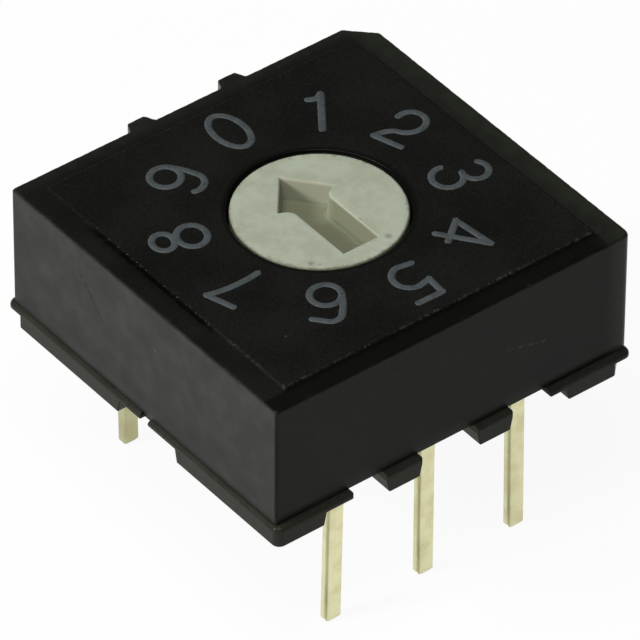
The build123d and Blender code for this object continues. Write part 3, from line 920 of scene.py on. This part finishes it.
pins = {
    "width": 0.40,
    "thick": 0.24,
    "footWidth": 0.66,
    "bend": 0.13,
    "cornerRound": 0.025,
    "grooveDepth": 0.030,      # groove beside the rolled edge
    "groove": ((0.02, 0.0), (0.045, 1.0), (0.075, 0.9), (0.105, 0.0)),    # place and share of depth
    "pinShade": ((1.0, 0.9, 0.75, 0.5, 0.15), (0.0, 0.8, 1.0, 1.0)),       # painted dark reflection over its corner, and in it
    "innerWidth": 0.96,        # share of the section at the foot's inner end
    "straightTo": 0.09,        # height over the tip where the straight part ends
    "tipCut": 0.07,
    "tipHeights": (1.02, 1.0, 0.45, 0.0),    # of the last rings, as shares of the cut
    "tipWidths": (0.80, 0.62),    # share of the section at the last two of them
    "widening": (0.5, 0.15),   # the pin widens to its foot between these depths
    "rings": (5, 8, 10),       # along the foot, round the bend and down the pin
    "lean": {"terminal_1": (-0.03, -0.05), "terminal_2": (0.09, 0.0), "terminal_4": (0.0, 0.05)},
}


def buildTerminal(name, s):
    # A section carried from the foot's inner end, round the bend and down to the tip.
    # The section is a rectangle with rounded corners and a shallow groove beside one of them.
    # The shape is made for the +X row and turned half round for the -X row.
    low, high = boxOf(name)
    side = 1 if low[0] + high[0] > 0 else -1
    row = side * (low[1] + high[1]) / 2
    inner = min(abs(low[0]), abs(high[0]))
    middleX = max(abs(low[0]), abs(high[0])) - s["thick"] / 2
    footZ = high[2] - s["thick"] / 2
    # centre line: foot, quarter bend, pin
    footRings, bendRings, pinRings = s["rings"]
    turn = quarter(bendRings)
    bendX, bendZ = middleX - s["bend"], footZ - s["bend"]
    drop = np.concatenate([np.linspace(bendZ - 0.02, low[2] + s["straightTo"], pinRings),
                           low[2] + s["tipCut"] * np.array(s["tipHeights"])])
    lineX = np.concatenate([np.linspace(inner, bendX - 0.01, footRings), bendX + s["bend"] * np.sin(turn),
                            np.full(len(drop), middleX)])
    lineZ = np.concatenate([np.full(footRings, footZ), bendZ + s["bend"] * np.cos(turn), drop])
    heading = np.concatenate([np.zeros(footRings), turn, np.full(len(drop), np.pi / 2)])
    wider = smoothStep(lineZ, footZ - s["widening"][0], footZ - s["widening"][1])
    halfWide = (s["width"] + (s["footWidth"] - s["width"]) * wider) / 2
    shrink = np.ones(len(lineX))
    shrink[-2:] = s["tipWidths"]
    shrink[0] = s["innerWidth"]
    # section: a rounded rectangle, u across the thickness (outwards) and v along Y
    corner = s["cornerRound"]
    arc = quarter(5)
    u, v = [], []
    for k, (signU, signV) in enumerate([(1, -1), (1, 1), (-1, 1), (-1, -1)]):
        angle = arc + (k - 1) * np.pi / 2
        u.append(signU * (s["thick"] / 2 - corner) + corner * np.cos(angle))
        v.append(np.stack([np.full(len(arc), signV), corner * np.sin(angle)]))
    u = np.concatenate(u)
    signV, offsetV = np.concatenate(v, axis=1)
    # groove on the -Y face, beside its outer edge
    groove = np.array(s["groove"])
    grooveU = s["thick"] / 2 - corner - groove[::-1, 0]
    u = np.concatenate([u, np.sort(grooveU)])
    signV = np.concatenate([signV, np.full(len(groove), -1)])
    offsetV = np.concatenate([offsetV, -corner + s["grooveDepth"] * groove[::-1, 1]])
    alongY = signV[None] * (halfWide[:, None] - corner) + offsetV[None]
    alongY, across = alongY * shrink[:, None], u[None] * shrink[:, None]
    rings = np.stack([lineX[:, None] + across * np.sin(heading)[:, None],
                      row + alongY,
                      lineZ[:, None] + across * np.cos(heading)[:, None]], axis=2)
    depth = np.clip(rings[..., 2] / low[2], 0, 1)[..., None]
    lean = side * np.array([*s["lean"].get(name, (0.0, 0.0)), 0.0])
    rings = rings + depth * lean
    first, last = rings[0].mean(axis=0), rings[-1].mean(axis=0)
    points, faces = skin(rings, firstPole=first, lastPole=last)
    # painted dark reflection in the groove and over the corner beside it, and more of it near the foot
    pinShade = np.zeros(rings.shape[:2])
    pinShade[:, :len(arc)], pinShade[:, -len(groove):] = s["pinShade"]
    pinShade *= 0.7 + 0.3 * ripple(rings[..., 2] / low[2], (2, 5, 9), 21)
    marks = {"cornerShade": np.append(pinShade.ravel(), (0.0, 0.0))}
    return (points * np.array([side, side, 1]), faces), marks


pinPieces = []
for name in sorted(nodes):
    if name.startswith("terminal_"):
        pinShape, pinMarks = buildTerminal(name, pins)
        pinPieces.append(makePiece(f"stamped_{name}", pinShape, "housing", [name], sharp=50,
                                   marks=pinMarks))


# Base: the frame's own mesh with its edges eased

base = {
    "ledgeRound": 0.13,
    "edgeRound": 0.03,
    "edgeAngle": 30,           # degrees: flatter edges stay as they are
    "cutCorner": 8.0,          # y - x beyond which all do: the cut corner's edges are short
    "segments": 4,
    "merge": 0.002,
    "flat": 1,                 # degrees within which faces count as one
    "sharp": 40,
}


def easeEdges(name, source, s):
    # A merged copy of a node with small rounds on its edges, and larger ones along the ledge
    # that stands out from the case
    mesh = nodes[source].data.copy()
    mesh.name = name
    work = bmesh.new()
    work.from_mesh(mesh)
    bmesh.ops.remove_doubles(work, verts=work.verts, dist=1e-7)
    bmesh.ops.dissolve_limit(work, angle_limit=math.radians(s["flat"]), verts=work.verts, edges=work.edges)
    halfX, halfY = (value * mm for value in boxOf("case")[1][:2])
    weight = work.edges.layers.float.new("bevel_weight_edge")
    for edge in work.edges:
        middle = (edge.verts[0].co + edge.verts[1].co) / 2
        onLedge = max(abs(middle.x) - halfX, abs(middle.y) - halfY) > 0.01 * mm
        facingUp = [face for face in edge.link_faces if face.normal.z > 0.9]
        beforeCut = middle.y - middle.x < s["cutCorner"] * mm
        bent = len(edge.link_faces) == 2 and edge.calc_face_angle() > math.radians(s["edgeAngle"])
        if bent and beforeCut:
            edge[weight] = 1.0 if onLedge and facingUp else s["edgeRound"] / s["ledgeRound"]
    work.to_mesh(mesh)
    work.free()
    mesh.shade_smooth()
    mesh.set_sharp_from_angle(angle=math.radians(s["sharp"]))
    piece = bpy.data.objects.new(name, mesh)
    bpy.context.scene.collection.objects.link(piece)
    bevel = piece.modifiers.new("eased edges", "BEVEL")
    bevel.width = s["ledgeRound"] * mm
    bevel.segments = s["segments"]
    bevel.limit_method = "WEIGHT"
    bevel.use_clamp_overlap = False
    bevel.harden_normals = True
    piece.modifiers.new("merged points", "WELD").merge_threshold = s["merge"] * mm
    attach(piece, "housing")
    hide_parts(source)
    return piece


basePiece = easeEdges("moulded_base", "base", base)
print("pieces ready")


# Black plastic of the case and the base

casePlastic = {
    "color": srgb(16, 17, 15),
    "light": srgb(27, 28, 25),
    # painted shade of the +X border and the ring round the dial, also the rim's painted shade and a dark
    # scratch
    "border": srgb(7, 7, 6),
    "pale": srgb(35, 37, 31),  # painted light on the border's far sides
    # pale wear with a painted highlight
    "wearAndHighlight": srgb(70, 73, 67),
    "film": srgb(52, 54, 50),  # faint film on the side walls
    "dust": srgb(96, 98, 90),
    "roughness": 0.30,
    "specular": 0.07,
    "cloud": 1.7,              # sizes of the soft patches and of the fine grain
    "grain": 0.045,
    "cloudShare": 0.40,        # of the patches in the tone, the rest is grain
    "grainDepth": 0.003,
    "dustShare": 0.35,
    "wearHighlightShare": 0.42,
    "borderRight": 0.7,        # how strong the painted shade on the +X border is, and the painted shadow in the ring round the dial
    "dialRing": 0.8,
    "farShare": (0.55, 1.15),  # how strong the painted light on the +Y border is, from the panel to its edge
    "filmPatch": 0.8,          # size of the film's patches, and how thick they are
    "filmShare": (0.45, 0.90),
    "shadedSideFilm": 0.12,         # what is left of the film on the +X wall, kept thin as painted shade on that side
    "cornerPatch": (9.0, 9.7),  # x + y where the +X +Y corner's paler patch, wear with a painted highlight, starts and is full
    "speckSpacing": 0.62,
    "speckRadius": 0.055,
    "scratchSide": ((4.78, 1.52, 2.21), (4.78, 2.57, 1.93)),
    "scratchFront": ((-2.32, -4.90, 3.08), (-1.58, -4.90, 2.31)),
    "scratchShare": 0.30,
}


caseHigh = boxOf("case")[1]


def onRoof(r):
    # 1 on the roof and 0 on the walls
    return r.band(r.axes()[2], caseHigh[2] - 0.12, caseHigh[2] - 0.06)


def wandering(r, value):
    # A length that noise shifts by up to an eighth of a millimetre, for an uneven outline
    shift = r.times(r.math("SUBTRACT", r.noise(0.5, detail=4), 0.5), 0.25 * mm)
    return r.math("ADD", value, shift)


def roofPaintedShading(r, color, s, panel, bore):
    # Painted shade on the roof's border on the +X side, painted light on the far sides, and a
    # painted shadow in the ring round the dial: smooth steps over x, y and the distance to the axis
    x, y, z = r.axes()
    onTop = onRoof(r)
    farWall = r.times(r.band(y, panel[1], panel[1] + 0.06), r.band(y, panel[1], caseHigh[1], *s["farShare"]))
    farSides = r.math("MAXIMUM", farWall, r.band(x, 0.06 - caseHigh[0], -panel[0], 0.7, 0.0))
    farSides = r.times(farSides, r.ramp(r.noise(0.35, detail=4), 0.35, 0.65, 0.6, 1.0))
    # painted light on the border's far sides
    color = r.mix(r.times(farSides, onTop), color, s["pale"])
    # painted shade on the +X border and a painted shadow in the ring round the dial
    nearY = r.band(wandering(r, y), panel[1] - 0.35, panel[1] + 0.1, 1.0, 0.0)
    right = r.times(r.band(x, panel[0], panel[0] + 0.05, 0.0, s["borderRight"]), nearY)
    around = r.band(r.fromAxis(), bore + 0.02, bore + 0.16, s["dialRing"], 0.0)
    return r.mix(r.times(r.math("MAXIMUM", right, around), onTop), color, s["border"])


def wallFilmAndShading(r, color, s):
    # A faint film on the walls, kept thin on +X as painted shade and thinner low down,
    # and a paler patch of wear with a painted highlight on the +X +Y corner
    x, y, z = r.axes()
    onWall = r.math("SUBTRACT", 1.0, onRoof(r))
    patches = r.noise(s["filmPatch"], detail=5, roughness=0.65)
    film = r.times(r.ramp(patches, 0.36, 0.72, *s["filmShare"]), onWall)
    # painted shade: the film kept thin on the +X wall
    film = r.times(film, r.band(x, caseHigh[0] - 0.10, caseHigh[0] - 0.02, 1.0, s["shadedSideFilm"]))
    film = r.times(film, r.band(z, 0.5, 2.0, 0.65, 1.0))
    color = r.mix(film, color, s["film"])
    # wear with a painted highlight on the +X +Y corner
    corner = r.band(wandering(r, r.math("ADD", x, y)), *s["cornerPatch"], 0.0, 0.4)
    return r.mix(r.times(corner, onWall), color, s["wearAndHighlight"])


def caseWearAndShading(r, color, s):
    # Two scratches, broken up along their length, and the mesh's own marks of painted shade at the rim and
    # of wear with a painted highlight
    broken = r.ramp(r.noise(0.10, detail=3), 0.40, 0.62)
    side = r.band(r.fromLine(*s["scratchSide"]), 0.01, 0.045, 1.0, 0.0)
    color = r.mix(r.times(r.times(side, broken), s["scratchShare"]), color, s["dust"])
    front = r.band(r.fromLine(*s["scratchFront"]), 0.02, 0.07, 0.7, 0.0)
    color = r.mix(r.times(front, broken), color, s["border"])
    # painted shade at the rim's groove and slope, then wear with a painted highlight
    color = r.mix(r.mark("rimShade"), color, s["border"])
    wearAndHighlight = r.times(r.mark("wearAndHighlight"), r.ramp(r.noise(0.09, detail=3), 0.42, 0.60))
    return r.mix(r.times(wearAndHighlight, s["wearHighlightShare"]), color, s["wearAndHighlight"])


def blackPlastic(name, s, panel=None, bore=None):
    # Soft patches and a fine grain between two blacks, scattered dust, and where panel gives
    # the half sizes of the roof's panel, the case's own borders with painted shade and light, film, wear and
    # painted highlight
    r = Recipe(name)
    cloud = r.noise(s["cloud"], detail=3)
    grain = r.noise(s["grain"], detail=2, roughness=0.7)
    tone = r.math("ADD", r.times(cloud, s["cloudShare"]), r.times(grain, 1 - s["cloudShare"]))
    color = r.mix(r.ramp(tone, 0.36, 0.66), s["color"], s["light"])
    roughness = r.ramp(cloud, 0.3, 0.7, s["roughness"] - 0.03, s["roughness"] + 0.07)
    if panel:
        color = wallFilmAndShading(r, color, s)
        color = roofPaintedShading(r, color, s, panel, bore)
        color = caseWearAndShading(r, color, s)
    specks = r.specks(s["speckSpacing"], s["speckRadius"])
    dust = r.times(specks, r.ramp(r.noise(2.0), 0.45, 0.65))
    color = r.mix(r.times(dust, s["dustShare"]), color, s["dust"])
    return r.finish(color, roughness, r.bump(grain, s["grainDepth"]), Specular_IOR_Level=s["specular"])


panelHalf = [caseHigh[0] - case["borderX"] + case["panelEdge"],
             caseHigh[1] - case["borderY"] + case["panelEdge"]]
paint(blackPlastic("case plastic", casePlastic, panelHalf, case["bore"]), casePiece)

# The base takes the case's plastic painted lighter, painted light that offsets the shade on its ledge
baseLightenedPlastic = dict(casePlastic, color=srgb(31, 31, 27), light=srgb(44, 44, 38), specular=0.09)
paint(blackPlastic("base plastic painted lighter", baseLightenedPlastic), basePiece)
paint(blackPlastic("seal rubber", dict(casePlastic, roughness=0.6)), nodes["seal_ring"])


# Off-white plastic of the dial, with dirt at its rim

dialPlastic = {
    "color": srgb(166, 172, 156),
    "dark": srgb(156, 162, 144),
    # painted shade in the slot and over its rim's rounding
    "slot": srgb(127, 129, 107),
    # painted light on the shaded walls round the arrow's head
    "headWallLight": srgb(158, 160, 141),
    "dirt": srgb(92, 96, 84),
    "rimDirt": 0.75,
    "markDirt": 0.55,
    "speckDirt": 0.5,
    "speckSpacing": 0.16,
    "speckRadius": 0.035,
    "cloud": 0.45,
    "roughness": 0.55,
    "specular": 0.14,
    "glow": 0.2,               # share of the light that scatters inside, and how far
    "scatter": 0.3,
    # places in plan and sizes of the marks
    "marks": [(-1.29, 1.41, 0.07), (-0.72, 1.80, 0.06), (-1.80, 0.58, 0.05), (1.32, -1.26, 0.10),
              (1.47, -1.12, 0.05), (1.62, 0.66, 0.13), (0.99, 1.64, 0.06)],
}


def palePlastic(name, s, top, depth, radius):
    # Soft clouds between two pale tones. The slot is browner, by height, a painted shade that also
    # covers its rim's rounding, and painted light lifts the walls round the arrow's head to the palest part
    # of it. Dirt lies at the rim, in spots and in specks.
    r = Recipe(name)
    cloud = r.noise(s["cloud"], detail=4, roughness=0.6)
    color = r.mix(r.ramp(cloud, 0.38, 0.66), s["color"], s["dark"])
    x, y, z = r.axes()
    # painted shade: the slot's colour from just under the rim down
    inSlot = r.band(z, top - 0.05 * depth, top - 0.005 * depth, 1.0, 0.0)
    color = r.mix(inSlot, color, s["slot"])
    # painted light that lifts the shade on the walls round the arrow's head
    onWall = r.times(inSlot, r.band(z, top - 0.98 * depth, top - 0.80 * depth))
    inHead = r.times(onWall, r.band(x, -0.5, 0.0, 1.0, 0.0))
    color = r.mix(inHead, color, s["headWallLight"])
    uneven = r.math("ADD", r.fromAxis(), r.times(r.noise(0.16, detail=3), 0.12 * mm))
    rim = r.band(uneven, radius - 0.02, radius + 0.07, 0.0, s["rimDirt"])
    color = r.mix(rim, color, s["dirt"])
    ragged = r.times(r.noise(0.05, detail=2), 0.06 * mm)
    for placeX, placeY, size in s["marks"]:
        away = r.math("ADD", r.fromPoint((placeX, placeY, top)), ragged)
        mark = r.band(away, 0.35 * size, size + 0.04, s["markDirt"], 0.0)
        color = r.mix(mark, color, s["dirt"])
    specks = r.specks(s["speckSpacing"], s["speckRadius"])
    dots = r.times(specks, r.ramp(r.noise(0.9, shift=(3, 1, 0)), 0.50, 0.62))
    color = r.mix(r.times(dots, s["speckDirt"]), color, s["dirt"])
    normal = r.bump(r.noise(0.06, detail=3), 0.002)
    return r.finish(color, s["roughness"], normal, Specular_IOR_Level=s["specular"],
                    Subsurface_Weight=s["glow"], Subsurface_Scale=s["scatter"] * mm)


dialTop = boxOf("dial")[1][2]
paint(palePlastic("dial plastic", dialPlastic, dialTop, dial["slotDepth"], dial["radius"]), dialPiece)


# Metals and ink

plating = {"color": srgb(234, 231, 188), "dull": srgb(218, 213, 168), "roughness": 0.30,
           "pinShade": srgb(96, 98, 52), "farRow": 0.38}      # how much painted shade the far row gets
contactMetal = {"color": srgb(214, 190, 120), "dull": srgb(200, 176, 106), "roughness": 0.30}
springSteel = {"color": srgb(190, 190, 192), "dull": srgb(176, 176, 178), "roughness": 0.35}
inkFinish = {"color": srgb(70, 76, 78), "thin": srgb(60, 65, 67), "roughness": 0.6}


def platedMetal(name, s):
    # Bright and dull clouds under fine upright streaks. Painted shade follows the mesh's own mark, a
    # dark reflection along a corner and its groove, and grows towards the feet and the far row, which the
    # body shades.
    r = Recipe(name)
    streak = r.noise(0.04, detail=2, stretch=(1, 1, 14))
    tone = r.mix(r.ramp(r.noise(0.5, detail=2), 0.35, 0.7), s["color"], s["dull"])
    if "pinShade" in s:
        x, y, z = r.axes()
        # painted shade on the far row and near the feet, where the body shades the pins
        farRow = r.band(x, -4.0, 0.0, s["farRow"], 0.0)
        high = r.math("MAXIMUM", r.band(z, 0.1, 0.6, 0.0, 0.18), farRow)
        marked = r.times(r.mark("cornerShade"), 0.85)
        tone = r.mix(r.math("MAXIMUM", marked, high), tone, s["pinShade"])
    rough = r.ramp(streak, 0.3, 0.7, s["roughness"] - 0.06, s["roughness"] + 0.08)
    return r.finish(tone, rough, r.bump(streak, 0.0015), Metallic=1.0)


def ink(name, s):
    # Two greys in small clouds
    r = Recipe(name)
    color = r.mix(r.ramp(r.noise(0.18, detail=3), 0.40, 0.70), s["color"], s["thin"])
    return r.finish(color, s["roughness"], r.bump(r.noise(0.05, detail=2), 0.0015), Specular_IOR_Level=0.2)


paint(platedMetal("pin plating", plating), *pinPieces)
paint(platedMetal("contact plating", contactMetal),
      *[nodes[name] for name in sorted(nodes) if name.startswith("contact_")], nodes["code_plate"])
paint(platedMetal("spring steel", springSteel), nodes["click_spring_back"], nodes["click_spring_front"])
paint(ink("grey ink", inkFinish), figurePiece)
print("materials ready")
